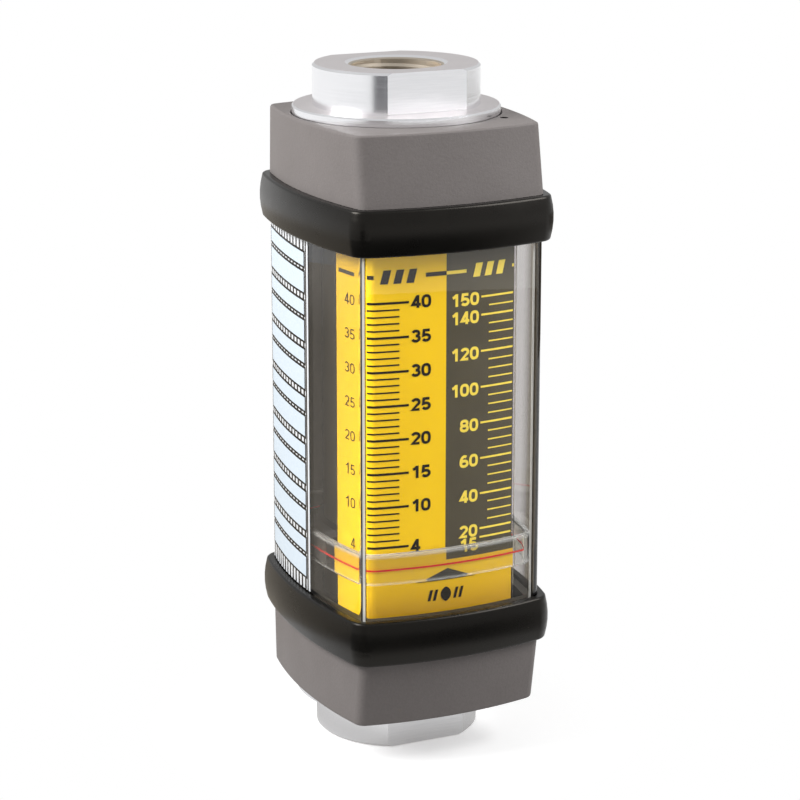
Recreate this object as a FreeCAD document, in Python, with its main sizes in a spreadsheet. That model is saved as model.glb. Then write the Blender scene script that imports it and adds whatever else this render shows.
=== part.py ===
import FreeCAD, Part
import math
import os
import Sketcher

# In-line magnetically coupled variable-area flow meter.
# Millimetres, +Z up along the port axis, origin on the end face of the lower port.
# The scale faces -Y.  Every size is written once, in the sheet called "sizes".

doc = FreeCAD.newDocument("rotameter")
sheet = doc.addObject("Spreadsheet::Sheet", "sizes")


class Size:
    """A length with its value and the sheet expression that gives it."""

    def __init__(self, value, text):
        self.value = float(value)
        self.text = text

    def other(self, o):
        return o if isinstance(o, Size) else Size(o, repr(float(o)))

    def __add__(self, o):
        o = self.other(o)
        return Size(self.value + o.value, "(%s + %s)" % (self.text, o.text))

    __radd__ = __add__

    def __sub__(self, o):
        o = self.other(o)
        return Size(self.value - o.value, "(%s - %s)" % (self.text, o.text))

    def __rsub__(self, o):
        return self.other(o) - self

    def __mul__(self, o):
        o = self.other(o)
        return Size(self.value * o.value, "(%s * %s)" % (self.text, o.text))

    __rmul__ = __mul__

    def __truediv__(self, o):
        o = self.other(o)
        return Size(self.value / o.value, "(%s / %s)" % (self.text, o.text))

    def __neg__(self):
        return Size(-self.value, "(0 - %s)" % self.text)


rows = [0]


def size(alias, value, note):
    """One named driving dimension: a row of the sheet and the Size that reads it."""
    rows[0] += 1
    sheet.set("A%d" % rows[0], note)
    sheet.set("B%d" % rows[0], repr(value))
    sheet.setAlias("B%d" % rows[0], alias)
    return Size(value, "sizes.%s" % alias)


# ---- driving dimensions -------------------------------------------------------
# A plain assignment below a group is a size that follows from the ones above it.
overall = size("overall", 183.0, "length over both port faces")
play = size("play", 0.05, "gap between pieces that are fastened together")
casing_r = size("casing_r", 19.2, "outer radius of the pressure casing")
casing_wall = size("casing_wall", 3.6, "wall of the pressure casing")
bore_r = casing_r - casing_wall

port_r = size("port_r", 22.1, "radius of the port ends")
port_edge = size("port_edge", 0.6, "chamfer round a port face")
flat_half = size("flat_half", 19.05, "half the size across the wrench flats")
flange_room = size("flange_room", 8.3, "casing to the rim of the port flange")
flange_low = size("flange_low", 10.8, "port face to outer face of the flange")
flange_thick = size("flange_thick", 5.0, "thickness of the flange")
flange_edge = size("flange_edge", 0.4, "edge break of the flange")
thread_r = size("thread_r", 12.0, "wall radius of the port thread")
thread_deep = size("thread_deep", 19.0, "depth of the port thread")
mouth_wide = size("mouth_wide", 1.5, "width of the countersink round the thread")
mouth_deep = size("mouth_deep", 0.9, "depth of the countersink")
flow_r = size("flow_r", 10.5, "radius of the flow bore behind the thread")
spigot_long = size("spigot_long", 12.2, "length of the spigot behind the flange")
spigot_fit = size("spigot_fit", 0.1, "radial gap of a spigot in its socket")
seal_up = size("seal_up", 6.2, "flange to the middle of the seal ring")
seal_wire = size("seal_wire", 1.0, "section radius of the port seal ring")
flange_r = casing_r + flange_room
flange_high = flange_low + flange_thick
spigot_end = flange_high + spigot_long
seal_z = flange_high + seal_up

socket_step = size("socket_step", 1.4, "depth of the socket step in the bore")
socket_gap = size("socket_gap", 0.2, "gap between spigot and socket floor")
ring_shelf = size("ring_shelf", 0.3, "socket floor to the retaining ring groove")
ring_thick = size("ring_thick", 1.1, "width of the retaining ring groove")
ring_deep = size("ring_deep", 1.0, "depth of the retaining ring groove")
ring_wide = size("ring_wide", 1.6, "how far a retaining ring stands into the bore")
casing_low = flange_high + play
socket_r = bore_r + socket_step
socket_high = spigot_end + socket_gap
ring_low = socket_high + ring_shelf
ring_groove_r = bore_r + ring_deep

spider_thick = size("spider_thick", 4.0, "thickness of a spider")
spider_hole = size("spider_hole", 3.3, "radius of a spider flow hole")
spider_rim = size("spider_rim", 2.3, "rim between the flow holes and the casing bore")
stem_r = size("stem_r", 3.0, "radius of the cone stems")
cone_base_r = size("cone_base_r", 8.0, "radius of the cone at zero flow")
cone_tip_r = size("cone_tip_r", 3.6, "radius of the cone at full flow")
cone_tip_gap = size("cone_tip_gap", 13.3, "end of the taper to the upper spider")
stop_wide = size("stop_wide", 3.5, "how far the piston stop stands out of the cone")
stop_gap = size("stop_gap", 0.3, "stop to piston at zero flow")
nut_across = size("nut_across", 9.0, "size across flats of a cone nut")
nut_high = size("nut_high", 3.2, "height of a cone nut")
stem_over = size("stem_over", 0.6, "how far a stem stands out of its nut")
spider_pitch = bore_r - spider_rim - spider_hole
spider_low = ring_low + ring_thick + play
spider_high = spider_low + spider_thick
stem_low = spider_low - nut_high - stem_over

piston_up = size("piston_up", 12.35, "spider to the piston at zero flow")
piston_fit = size("piston_fit", 0.08, "running clearance of the piston in the bore")
foot_high = size("foot_high", 4.0, "height of the carrier's guiding foot")
carrier_wall = size("carrier_wall", 1.2, "wall of the carrier tube")
flow_gap = size("flow_gap", 3.0, "casing bore to carrier bore")
orifice_gap = size("orifice_gap", 0.4, "orifice to cone at zero flow")
orifice_edge = size("orifice_edge", 0.8, "width of the orifice bevel")
plate_thick = size("plate_thick", 1.2, "thickness of the orifice plate")
plate_edge = size("plate_edge", 0.3, "height of the sharp orifice edge")
lip_high = size("lip_high", 1.0, "thickness of the lip under the orifice plate")
lip_wide = size("lip_wide", 2.6, "width of that lip")
magnet_tall = size("magnet_tall", 13.0, "length of the piston magnet")
magnet_gap = size("magnet_gap", 0.4, "piston magnet to casing bore")
clip_thick = size("clip_thick", 1.0, "width of the magnet clip groove")
clip_deep = size("clip_deep", 0.5, "depth of the magnet clip groove")
carrier_over = size("carrier_over", 1.0, "carrier tube above the clip groove")
spring_in = size("spring_in", 1.1, "carrier bore to mean radius of the spring")
wire_r = size("wire_r", 0.6, "wire radius of the return spring")
spring_turns = size("spring_turns", 9.0, "turns of the return spring")
piston_low = spider_high + piston_up
carrier_r = bore_r - flow_gap
tube_r = carrier_r + carrier_wall
magnet_r = bore_r - magnet_gap
magnet_low = piston_low + foot_high
magnet_high = magnet_low + magnet_tall
piston_high = magnet_high + clip_thick + carrier_over
clip_floor = tube_r - clip_deep

side_room = size("side_room", 10.2, "casing to the crown of a side face")
front_room = size("front_room", 19.2, "casing to the crown of the front face")
rear_room = size("rear_room", 10.0, "casing to the crown of the rear face")
front_r = size("front_r", 105.0, "radius of the front and rear faces")
side_r = size("side_r", 130.0, "radius of the side faces")
corner_r = size("corner_r", 3.2, "radius of the guard corners")
inner_corner = size("inner_corner", 1.0, "radius of the inner corners")
guard_x = casing_r + side_room
guard_front = casing_r + front_room
guard_rear = casing_r + rear_room

rim_proud = size("rim_proud", 2.2, "how far the flange stands out of an end cap")
cap_tall = size("cap_tall", 18.2, "visible height of an end cap")
draft_x = size("draft_x", 0.5, "taper of the cap sides")
draft_front = size("draft_front", 3.0, "taper of the cap front")
draft_rear = size("draft_rear", 0.4, "taper of the cap rear")
cap_edge = size("cap_edge", 0.7, "rounding of the cap end edge")
spigot_wall = size("spigot_wall", 2.25, "wall of the cap spigot inside the window")
spigot_under = size("spigot_under", 0.5, "end of the cap spigot behind the bumper edge")
recess_gap = size("recess_gap", 0.4, "radial gap round the flange in its recess")
recess_play = size("recess_play", 0.3, "end play between flange and end cap")
floor_thick = size("floor_thick", 2.8, "floor between flange recess and cap cavity")
hub_gap = size("hub_gap", 1.1, "casing to the bore of the cap hub")
hub_wall = size("hub_wall", 2.7, "wall of the cap hub")
hub_short = size("hub_short", 2.7, "hub end below the end of the cap spigot")
wear_up = size("wear_up", 6.0, "wear ring to the end of the hub")
wear_tall = size("wear_tall", 4.0, "width of the wear ring groove")
wear_deep = size("wear_deep", 1.5, "depth of the wear ring groove")
turn_fit = size("turn_fit", 0.07, "running clearance on the casing")
vent_x = size("vent_x", 20.8, "sideways place of the vent hole")
vent_y = size("vent_y", -21.6, "front to back place of the vent hole")
vent_r = size("vent_r", 1.1, "radius of the vent hole")
cap_low = flange_low + rim_proud
cap_seam = cap_low + cap_tall
recess_r = flange_r + recess_gap
recess_high = flange_high + recess_play
cavity_low = recess_high + floor_thick
hub_bore = casing_r + hub_gap
hub_r = hub_bore + hub_wall

bumper_tall = size("bumper_tall", 11.95, "height of a bumper")
bumper_edge = size("bumper_edge", 2.1, "stand-out of a bumper at its edges")
bumper_swell = size("bumper_swell", 2.8, "stand-out of a bumper at mid height")
bumper_round = size("bumper_round", 0.7, "rounding of the bumper edges")
bumper_low = cap_seam + play
bumper_high = bumper_low + bumper_tall
cap_high = bumper_high - spigot_under
hub_high = cap_high - hub_short
wear_high = hub_high - wear_up
wear_low = wear_high - wear_tall
wear_r = hub_bore + wear_deep

window_out = size("window_out", 0.2, "outline to outside of the window")
window_wall = size("window_wall", 1.6, "wall of the window")
window_in = window_out + window_wall
window_low = cap_seam + 2 * play
bumper_in = window_out - play
cap_wall = window_in + 2 * play + spigot_wall

follower_up = size("follower_up", 6.1, "piston to underside of the follower ring")
follower_tall = size("follower_tall", 8.4, "height of the follower ring")
follower_gap = size("follower_gap", 0.4, "window to follower ring")
follower_wall = size("follower_wall", 1.6, "wall of the follower ring")
ring_corner = size("ring_corner", 2.9, "inner corner radius of the follower ring")
line_up = size("line_up", 3.55, "underside of the ring to the red line")
line_high = size("line_high", 0.5, "height of the red line")
line_thick = size("line_thick", 0.1, "thickness of the red line")
pad_inset = size("pad_inset", 0.5, "carrier inside the ends of the follower ring")
pad_wall = size("pad_wall", 1.8, "wall of the carrier ring on the casing")
arm_gap = size("arm_gap", 0.5, "carrier arm to follower ring")
arm_front = size("arm_front", -14.0, "front edge of the carrier arms")
arm_rear = size("arm_rear", 4.5, "rear edge of the carrier arms")
block_wide = size("block_wide", 2.6, "width of a follower magnet")
block_wall = size("block_wall", 3.0, "carrier wall in front of and behind a magnet")
block_side = size("block_side", 0.6, "carrier ring to a follower magnet")
block_up = size("block_up", 1.4, "carrier floor under a follower magnet")
ring_out = window_in + follower_gap
ring_in = ring_out + follower_wall
follower_low = piston_low + follower_up
follower_high = follower_low + follower_tall
pad_low = follower_low + pad_inset
pad_high = follower_high - pad_inset
pad_r = casing_r + pad_wall
arm_x = guard_x - ring_in - arm_gap
block_x = pad_r + block_side
block_low = pad_low + block_up

sheet_gap = size("sheet_gap", 0.5, "follower ring to the scale sheet")
sheet_thick = size("sheet_thick", 0.25, "thickness of the scale sheet")
sheet_right = size("sheet_right", 18.2, "right edge of the scale sheet")
sheet_back = size("sheet_back", -17.8, "rear edge of the turned-back strip")
sheet_tuck = size("sheet_tuck", 2.2, "scale sheet inside the cap spigot")
support_thick = size("support_thick", 1.0, "thickness of the scale support")
support_over = size("support_over", 0.9, "how far the support shows past the sheet")
support_tuck = size("support_tuck", 3.7, "scale support inside the cap spigot")
sheet_out = ring_in + sheet_gap
sheet_corner = ring_corner - sheet_gap
support_out = sheet_out + sheet_thick + play
sheet_low = cap_high - sheet_tuck
support_low = cap_high - support_tuck

label_out = size("label_out", 0.05, "outline to the face of the side label")
label_thick = size("label_thick", 0.12, "thickness of the side label")
label_front = size("label_front", -8.6, "front edge of the side label")
label_right = size("label_right", 14.0, "end of the side label on the rear face")
label_gap = size("label_gap", 0.4, "bumper to the edge of the side label")
label_low = bumper_high + label_gap

past = size("past", 1.0, "how far a cut runs past what it cuts")

doc.recompute()


# ---- small building steps -----------------------------------------------------
def bind(obj, prop, length):
    obj.setExpression(prop, length.text)


def new_body(label):
    body = doc.addObject("PartDesign::Body", label)
    body.Label = label
    return body


def turned_over(body):
    """Use a lower piece at the upper end: half a turn about the Y axis."""
    body.Placement = FreeCAD.Placement(
        FreeCAD.Vector(0, 0, overall.value), FreeCAD.Rotation(FreeCAD.Vector(0, 1, 0), 180))
    bind(body, "Placement.Base.z", overall)


def new_sketch(body, name, plane="XY_Plane", height=None):
    sk = body.newObject("Sketcher::SketchObject", body.Label + "_" + name)
    base = [o for o in body.Origin.OriginFeatures if o.Role == plane][0]
    sk.AttachmentSupport = [(base, "")]
    sk.MapMode = "FlatFace"
    if height is not None:
        bind(sk, "AttachmentOffset.Base.z", height)
        sk.AttachmentOffset = FreeCAD.Placement(
            FreeCAD.Vector(0, 0, height.value), FreeCAD.Rotation())
    return sk


def hold(sk, constraint, length):
    """Add a driven constraint and tie it to the sheet."""
    index = sk.addConstraint(constraint)
    bind(sk, "Constraints[%d]" % index, length)


def place_point(sk, geo, pos, x, y):
    """Fix one point by its two coordinates."""
    for length, kind, axis in ((x, "DistanceX", -2), (y, "DistanceY", -1)):
        if isinstance(length, Size):
            hold(sk, Sketcher.Constraint(kind, -1, 1, geo, pos, length.value), length)
        else:
            sk.addConstraint(Sketcher.Constraint("PointOnObject", geo, pos, axis))


def number(length):
    return length.value if isinstance(length, Size) else float(length)


def polygon(sk, points):
    """A closed run of straight lines through points of sizes (0 means on the axis)."""
    vec = [FreeCAD.Vector(number(x), number(y), 0) for x, y in points]
    first = None
    for i, start in enumerate(vec):
        geo = sk.addGeometry(Part.LineSegment(start, vec[(i + 1) % len(vec)]), False)
        if first is None:
            first = geo
    for i in range(len(vec)):
        nxt = first + (i + 1) % len(vec)
        sk.addConstraint(Sketcher.Constraint("Coincident", first + i, 2, nxt, 1))
    for i, (x, y) in enumerate(points):
        place_point(sk, first + i, 1, x, y)


def rectangle(sk, x0, x1, y0, y1):
    polygon(sk, [(x0, y0), (x1, y0), (x1, y1), (x0, y1)])


def circle(sk, radius, x=0, y=0):
    centre = FreeCAD.Vector(number(x), number(y), 0)
    geo = sk.addGeometry(Part.Circle(centre, FreeCAD.Vector(0, 0, 1), radius.value), False)
    hold(sk, Sketcher.Constraint("Radius", geo, radius.value), radius)
    if isinstance(x, Size) or isinstance(y, Size):
        place_point(sk, geo, 3, x, y)
    else:
        sk.addConstraint(Sketcher.Constraint("Coincident", geo, 3, -1, 1))


def eight_sided(radius, x, y):
    """Corners of a wire or cord section: eight sides keep its mesh light."""
    turns = [math.radians(22.5 + 45 * i) for i in range(8)]
    return [(x + radius * math.cos(a), y + radius * math.sin(a)) for a in turns]


def outline(sk, inward, corner, dx=0, front=0, rear=0):
    """The guard's outline: four slightly curved faces joined by round corners.

    inward moves every face towards the inside; dx, front and rear taper them further.
    """
    half, ahead = guard_x - inward - dx, guard_front - inward - front
    behind = guard_rear - inward - rear
    face, flank = front_r - inward, side_r - inward
    mid = (behind - ahead) / 2
    faces = [  # centre x, centre y, radius, in the order front, right, rear, left
        (0, face - ahead, face), (half - flank, mid, flank),
        (0, behind - face, face), (flank - half, mid, flank)]
    signs = [(1, -1), (1, 1), (-1, 1), (-1, -1)]
    centres = []
    for i, (sx, sy) in enumerate(signs):
        ax, ay, ar = [number(q) for q in faces[i]]
        bx, by, br = [number(q) for q in faces[(i + 1) % 4]]
        ra, rb = ar - corner.value, br - corner.value
        gap = math.hypot(bx - ax, by - ay)
        along = (ra * ra - rb * rb + gap * gap) / (2 * gap)
        up = math.sqrt(ra * ra - along * along)
        ux, uy = (bx - ax) / gap, (by - ay) / gap
        both = [(ax + ux * along - uy * up * k, ay + uy * along + ux * up * k) for k in (1, -1)]
        centres.append(max(both, key=lambda c: c[0] * sx + c[1] * sy))
    spans = []
    for i in range(4):
        cx, cy, cr = [number(q) for q in faces[i]]
        before, after = centres[i - 1], centres[i]
        a0 = math.atan2(before[1] - cy, before[0] - cx)
        a1 = math.atan2(after[1] - cy, after[0] - cx)
        while a1 < a0:
            a1 += 2 * math.pi
        spans.append((cx, cy, cr, a0, a1))
    arcs = []
    for i in range(4):
        arcs.append(spans[i])
        a0, a1 = spans[i][4], spans[(i + 1) % 4][3]
        while a1 < a0:
            a1 += 2 * math.pi
        while a1 - a0 > 2 * math.pi:
            a1 -= 2 * math.pi
        arcs.append((centres[i][0], centres[i][1], corner.value, a0, a1))
    first = None
    for cx, cy, cr, a0, a1 in arcs:
        ring = Part.Circle(FreeCAD.Vector(cx, cy, 0), FreeCAD.Vector(0, 0, 1), cr)
        geo = sk.addGeometry(Part.ArcOfCircle(ring, a0, a1), False)
        if first is None:
            first = geo
    for i in range(8):
        sk.addConstraint(Sketcher.Constraint("Tangent", first + i, 2, first + (i + 1) % 8, 1))
    for i in range(4):
        x, y, radius = faces[i]
        hold(sk, Sketcher.Constraint("Radius", first + 2 * i, radius.value), radius)
        place_point(sk, first + 2 * i, 3, x, y)
        hold(sk, Sketcher.Constraint("Radius", first + 2 * i + 1, corner.value), corner)


def pad(body, sk, length):
    feature = body.newObject("PartDesign::Pad", sk.Name + "_pad")
    feature.Profile = sk
    feature.Length = length.value
    bind(feature, "Length", length)
    return feature


def pocket_up(body, sk, length):
    """Cut away from the sketch in its +Z direction."""
    feature = body.newObject("PartDesign::Pocket", sk.Name + "_cut")
    feature.Profile = sk
    feature.Length = length.value
    feature.Reversed = True
    bind(feature, "Length", length)
    return feature


def revolve(body, sk):
    feature = body.newObject("PartDesign::Revolution", sk.Name + "_turn")
    feature.Profile = sk
    feature.ReferenceAxis = (sk, ["V_Axis"])
    feature.Angle = 360.0
    return feature


def turned(label, points, upper=False):
    """A turned piece from its half section (radius, height)."""
    body = new_body(label)
    sk = new_sketch(body, "section", "XZ_Plane")
    polygon(sk, points)
    revolve(body, sk)
    if upper:
        turned_over(body)
    return body


def stack(body, name, levels):
    """A solid through a stack of guard outlines, straight between neighbours.

    Each level is (height, outward, end taper) with the taper as (sides, front, rear).
    """
    sketches = []
    for i, (z, out, taper) in enumerate(levels):
        sk = new_sketch(body, "%s%d" % (name, i), height=z)
        outline(sk, -out, corner_r + out, *taper)
        sketches.append(sk)
    loft = body.newObject("PartDesign::AdditiveLoft", body.Label + "_" + name)
    loft.Profile = sketches[0]
    loft.Sections = sketches[1:]
    loft.Ruled = True
    return loft


def rounding(radius, steps):
    """Height and set-back pairs down a quarter round, from the rim to the full width."""
    pairs = []
    for i in range(steps + 1):
        angle = math.radians(90.0 * i / steps)
        pairs.append((radius * (1 - math.cos(angle)), radius * (1 - math.sin(angle))))
    return pairs


# ---- casing with its ports ----------------------------------------------------
def port(label, upper):
    """Turned port: threaded mouth, two wrench flats, flange and sealed spigot."""
    spigot = socket_r - spigot_fit
    floor = spigot - 2 * seal_wire
    low, high = seal_z - 1.2 * seal_wire, seal_z + 1.2 * seal_wire
    body = turned(label, [
        (thread_r + mouth_wide, 0), (port_r - port_edge, 0), (port_r, port_edge), (port_r, flange_low),
        (flange_r - flange_edge, flange_low), (flange_r, flange_low + flange_edge),
        (flange_r, flange_high), (spigot, flange_high), (spigot, low), (floor, low),
        (floor, high), (spigot, high), (spigot, spigot_end), (flow_r, spigot_end),
        (flow_r, thread_deep), (thread_r, thread_deep), (thread_r, mouth_deep)], upper)
    sk = new_sketch(body, "flats")
    reach = port_r + past
    rectangle(sk, -reach, reach, flat_half, reach)
    rectangle(sk, -reach, reach, -reach, -flat_half)
    pocket_up(body, sk, flange_low)
    return body


def port_seal(label, upper):
    """Seal ring in the spigot groove."""
    middle = socket_r - spigot_fit - seal_wire
    return turned(label, eight_sided(seal_wire, middle, seal_z), upper)


def casing():
    """Pressure casing: tube with a socket and a ring groove at each end."""
    top = overall
    low_ring, high_ring = ring_low, ring_low + ring_thick
    return turned("pressure_casing", [
        (socket_r, casing_low), (casing_r, casing_low), (casing_r, top - casing_low),
        (socket_r, top - casing_low), (socket_r, top - socket_high), (bore_r, top - socket_high),
        (bore_r, top - low_ring), (ring_groove_r, top - low_ring),
        (ring_groove_r, top - high_ring), (bore_r, top - high_ring),
        (bore_r, high_ring), (ring_groove_r, high_ring), (ring_groove_r, low_ring),
        (bore_r, low_ring), (bore_r, socket_high), (socket_r, socket_high)])


def retaining_ring(label, upper):
    """Internal retaining ring, open at one side."""
    body = new_body(label)
    sk = new_sketch(body, "ring", height=ring_low + play)
    circle(sk, ring_groove_r - play)
    circle(sk, bore_r - ring_wide)
    pad(body, sk, ring_thick - 2 * play)
    sk = new_sketch(body, "slot", height=ring_low)
    rectangle(sk, -2 * ring_thick, 2 * ring_thick, bore_r - 2 * ring_wide, bore_r + 2 * ring_deep)
    pocket_up(body, sk, 2 * ring_thick)
    if upper:
        turned_over(body)
    return body


def spider(label, upper):
    """Spider plate: a ring of flow holes round the hub that carries the cone."""
    body = new_body(label)
    sk = new_sketch(body, "disc", height=spider_low)
    circle(sk, bore_r - play)
    circle(sk, stem_r + play)
    pad(body, sk, spider_thick)
    sk = new_sketch(body, "hole", height=spider_low - past)
    circle(sk, spider_hole, spider_pitch, 0)
    cut = pocket_up(body, sk, spider_thick + 2 * past)
    doc.recompute()
    ring = body.newObject("PartDesign::PolarPattern", label + "_pattern")
    ring.Originals = [cut]
    ring.Axis = (sk, ["N_Axis"])
    ring.Angle = 360.0
    ring.Occurrences = 6
    body.Tip = ring
    if upper:
        turned_over(body)
    return body


def cone():
    """Metering cone with its two stems and the piston stop."""
    far, stop = overall - spider_high, piston_low - stop_gap
    return turned("metering_cone", [
        (0, stem_low), (stem_r, stem_low), (stem_r, spider_high), (stem_r * 2, spider_high),
        (stem_r * 2, stop - stop_wide), (cone_base_r + stop_wide, stop - stop_wide / 2),
        (cone_base_r + stop_wide, stop), (cone_base_r, stop), (cone_base_r, magnet_low),
        (cone_tip_r, far - cone_tip_gap), (cone_tip_r, far), (stem_r, far),
        (stem_r, overall - stem_low), (0, overall - stem_low)])


def nut(label, upper):
    """Hexagon nut on a cone stem."""
    body = new_body(label)
    sk = new_sketch(body, "hexagon", height=spider_low - play - nut_high)
    corner = nut_across / math.sqrt(3)
    half = nut_across / 2
    polygon(sk, [(corner, 0), (corner / 2, half), (-corner / 2, half),
                 (-corner, 0), (-corner / 2, -half), (corner / 2, -half)])
    circle(sk, stem_r + play)
    pad(body, sk, nut_high)
    if upper:
        turned_over(body)
    return body


def spring():
    """Return spring between the orifice plate and the upper spider."""
    body = new_body("return_spring")
    low = piston_low + lip_high + plate_thick + wire_r + 2 * play
    high = overall - spider_high - wire_r - play
    sk = new_sketch(body, "wire", "XZ_Plane")
    polygon(sk, eight_sided(wire_r, carrier_r - spring_in, low))
    helix = body.newObject("PartDesign::AdditiveHelix", "return_spring_coil")
    helix.Profile = sk
    helix.ReferenceAxis = (sk, ["V_Axis"])
    helix.Mode = 2
    helix.Height = (high - low).value
    helix.Turns = spring_turns.value
    bind(helix, "Height", high - low)
    bind(helix, "Turns", spring_turns)
    return body


# ---- piston -------------------------------------------------------------------
def piston():
    """Piston carrier, orifice plate, ring magnet and its clip."""
    low, lip_r = piston_low, carrier_r - lip_wide
    turned("piston_carrier", [
        (lip_r, low), (bore_r - piston_fit, low), (bore_r - piston_fit, magnet_low),
        (tube_r, magnet_low), (tube_r, magnet_high), (clip_floor, magnet_high),
        (clip_floor, magnet_high + clip_thick), (tube_r, magnet_high + clip_thick),
        (tube_r, piston_high), (carrier_r, piston_high), (carrier_r, low + lip_high),
        (lip_r, low + lip_high)])
    seat = low + lip_high + play
    top, edge = seat + plate_thick - play, cone_base_r + orifice_gap
    turned("orifice_plate", [
        (edge, seat), (carrier_r - 2 * play, seat), (carrier_r - 2 * play, top),
        (edge + orifice_edge, top), (edge, seat + plate_edge)])
    turned("piston_magnet", [
        (tube_r + play, magnet_low + play), (magnet_r, magnet_low + play),
        (magnet_r, magnet_high - play), (tube_r + play, magnet_high - play)])
    clip = turned("magnet_clip", [
        (clip_floor + play, magnet_high + play), (magnet_r, magnet_high + play),
        (magnet_r, magnet_high + clip_thick - play),
        (clip_floor + play, magnet_high + clip_thick - play)])
    sk = new_sketch(clip, "slot", height=magnet_high)
    rectangle(sk, -2 * clip_thick, 2 * clip_thick, clip_floor - past, magnet_r + past)
    pocket_up(clip, sk, 2 * clip_thick)


# ---- guard --------------------------------------------------------------------
def end_cap(label, upper):
    """Moulded end cap: tapered skirt, spigot inside the window, hub on the casing."""
    body = new_body(label)
    taper = (draft_x, draft_front, draft_rear)
    levels = [(cap_low + up, -back, taper) for up, back in rounding(cap_edge, 4)]
    stack(body, "skirt", levels + [(cap_seam, 0, ())])
    sk = new_sketch(body, "spigot", height=cap_seam)
    outline(sk, window_in + 2 * play, inner_corner)
    pad(body, sk, cap_high - cap_seam)
    sk = new_sketch(body, "cavity", height=cavity_low)
    outline(sk, cap_wall, inner_corner)
    circle(sk, hub_r)
    pocket_up(body, sk, cap_high - cavity_low + past)
    sk = new_sketch(body, "hubtop", height=hub_high)
    circle(sk, hub_r + past / 2)
    pocket_up(body, sk, cap_high - hub_high + past)
    sk = new_sketch(body, "bore", "XZ_Plane")
    polygon(sk, [(0, cap_low - past), (recess_r, cap_low - past), (recess_r, recess_high),
                 (hub_bore, recess_high), (hub_bore, wear_low), (wear_r + play, wear_low),
                 (wear_r + play, wear_high), (hub_bore, wear_high),
                 (hub_bore, cap_high + past), (0, cap_high + past)])
    groove = body.newObject("PartDesign::Groove", label + "_bore_cut")
    groove.Profile = sk
    groove.ReferenceAxis = (sk, ["V_Axis"])
    groove.Angle = 360.0
    if upper:
        sk = new_sketch(body, "vent", height=cap_low - past)
        circle(sk, vent_r, -vent_x, vent_y)
        pocket_up(body, sk, cavity_low - cap_low + 2 * past)
        turned_over(body)
    return body


def wear_ring(label, upper):
    """Plain ring in the hub groove that lets the guard turn on the casing."""
    inner = casing_r + turn_fit
    low, high = wear_low + play, wear_high - play
    return turned(label, [(inner, low), (wear_r, low), (wear_r, high), (inner, high)], upper)


def bumper(label, upper):
    """Rubber band with a swelling outer face."""
    body = new_body(label)
    middle = (bumper_low + bumper_high) / 2
    half = (bumper_high - bumper_low) / 2 - bumper_round
    swell = bumper_swell - bumper_edge
    rim = [(up, bumper_edge - back, ()) for up, back in rounding(bumper_round, 3)]
    levels = [(bumper_low + up, out, no) for up, out, no in rim]
    levels += [(middle + half * k, bumper_edge + swell * (1 - k * k), ())
               for k in (-0.6, -0.2, 0.2, 0.6)]
    levels += [(bumper_high - up, out, no) for up, out, no in reversed(rim)]
    stack(body, "band", levels)
    sk = new_sketch(body, "inside", height=bumper_low - past)
    outline(sk, bumper_in, corner_r - bumper_in)
    pocket_up(body, sk, bumper_tall + 2 * past)
    if upper:
        turned_over(body)
    return body


def tube(label, out, inside, corners, low, high):
    """A length of thin tube that follows the guard's outline."""
    body = new_body(label)
    sk = new_sketch(body, "wall", height=low)
    outline(sk, out, corners[0])
    outline(sk, inside, corners[1])
    pad(body, sk, high - low)
    return body


def trim(body, name, low, high, x0, x1, y0, y1):
    sk = new_sketch(body, name, height=low - past)
    rectangle(sk, x0, x1, y0, y1)
    pocket_up(body, sk, high - low + 2 * past)


def scale_plate(label, out, thick, low, over=0):
    """Front plate turned back round the left corner, ending short of the right one."""
    high, bend = overall - low, sheet_corner - (out - sheet_out)
    body = tube(label, out, out + thick, (bend, bend - thick), low, high)
    far = guard_front + guard_rear
    trim(body, "back", low, high, -far, far, sheet_back + over, far)
    trim(body, "right", low, high, sheet_right + over, far, -far, sheet_back + over + past)
    return body


def side_label():
    """Label on the left side, carried round the rear left corner."""
    high = overall - label_low
    corners = (corner_r - label_out, corner_r - label_out - label_thick)
    body = tube("side_label", label_out, label_out + label_thick, corners, label_low, high)
    far = guard_front + guard_rear
    trim(body, "front", label_low, high, -far, far, -far, label_front)
    trim(body, "right", label_low, high, label_right, far, label_front - past, far)
    return body


# ---- follower -----------------------------------------------------------------
def follower():
    """Clear ring with its red line, dark carrier on the casing and two magnets."""
    corners = (ring_corner + follower_wall, ring_corner)
    tube("follower_ring", ring_out, ring_in, corners, follower_low, follower_high)
    corners = (ring_corner - play / 2, ring_corner - line_thick)
    tube("follower_line", ring_in + play / 2, ring_in + line_thick, corners,
         follower_low + line_up, follower_low + line_up + line_high)
    body, tall = new_body("follower_carrier"), pad_high - pad_low
    sk = new_sketch(body, "arms", height=pad_low)
    rectangle(sk, -arm_x, arm_x, arm_front, arm_rear)
    pad(body, sk, tall)
    sk = new_sketch(body, "ring", height=pad_low)
    circle(sk, pad_r)
    pad(body, sk, tall)
    sk = new_sketch(body, "bore", height=pad_low - past)
    circle(sk, casing_r + turn_fit)
    pocket_up(body, sk, tall + 2 * past)
    front, rear, far = arm_front + block_wall, arm_rear - block_wall, block_x + block_wide
    sk = new_sketch(body, "pockets", height=block_low)
    rectangle(sk, block_x, far, front, rear)
    rectangle(sk, -far, -block_x, front, rear)
    pocket_up(body, sk, pad_high - block_low + past)
    for side, x0, x1 in (("left", -far, -block_x), ("right", block_x, far)):
        block = new_body("follower_magnet_" + side)
        sk = new_sketch(block, "block", height=block_low + play)
        rectangle(sk, x0 + play, x1 - play, front + play, rear - play)
        pad(block, sk, pad_high - block_low - 2 * play)


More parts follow.
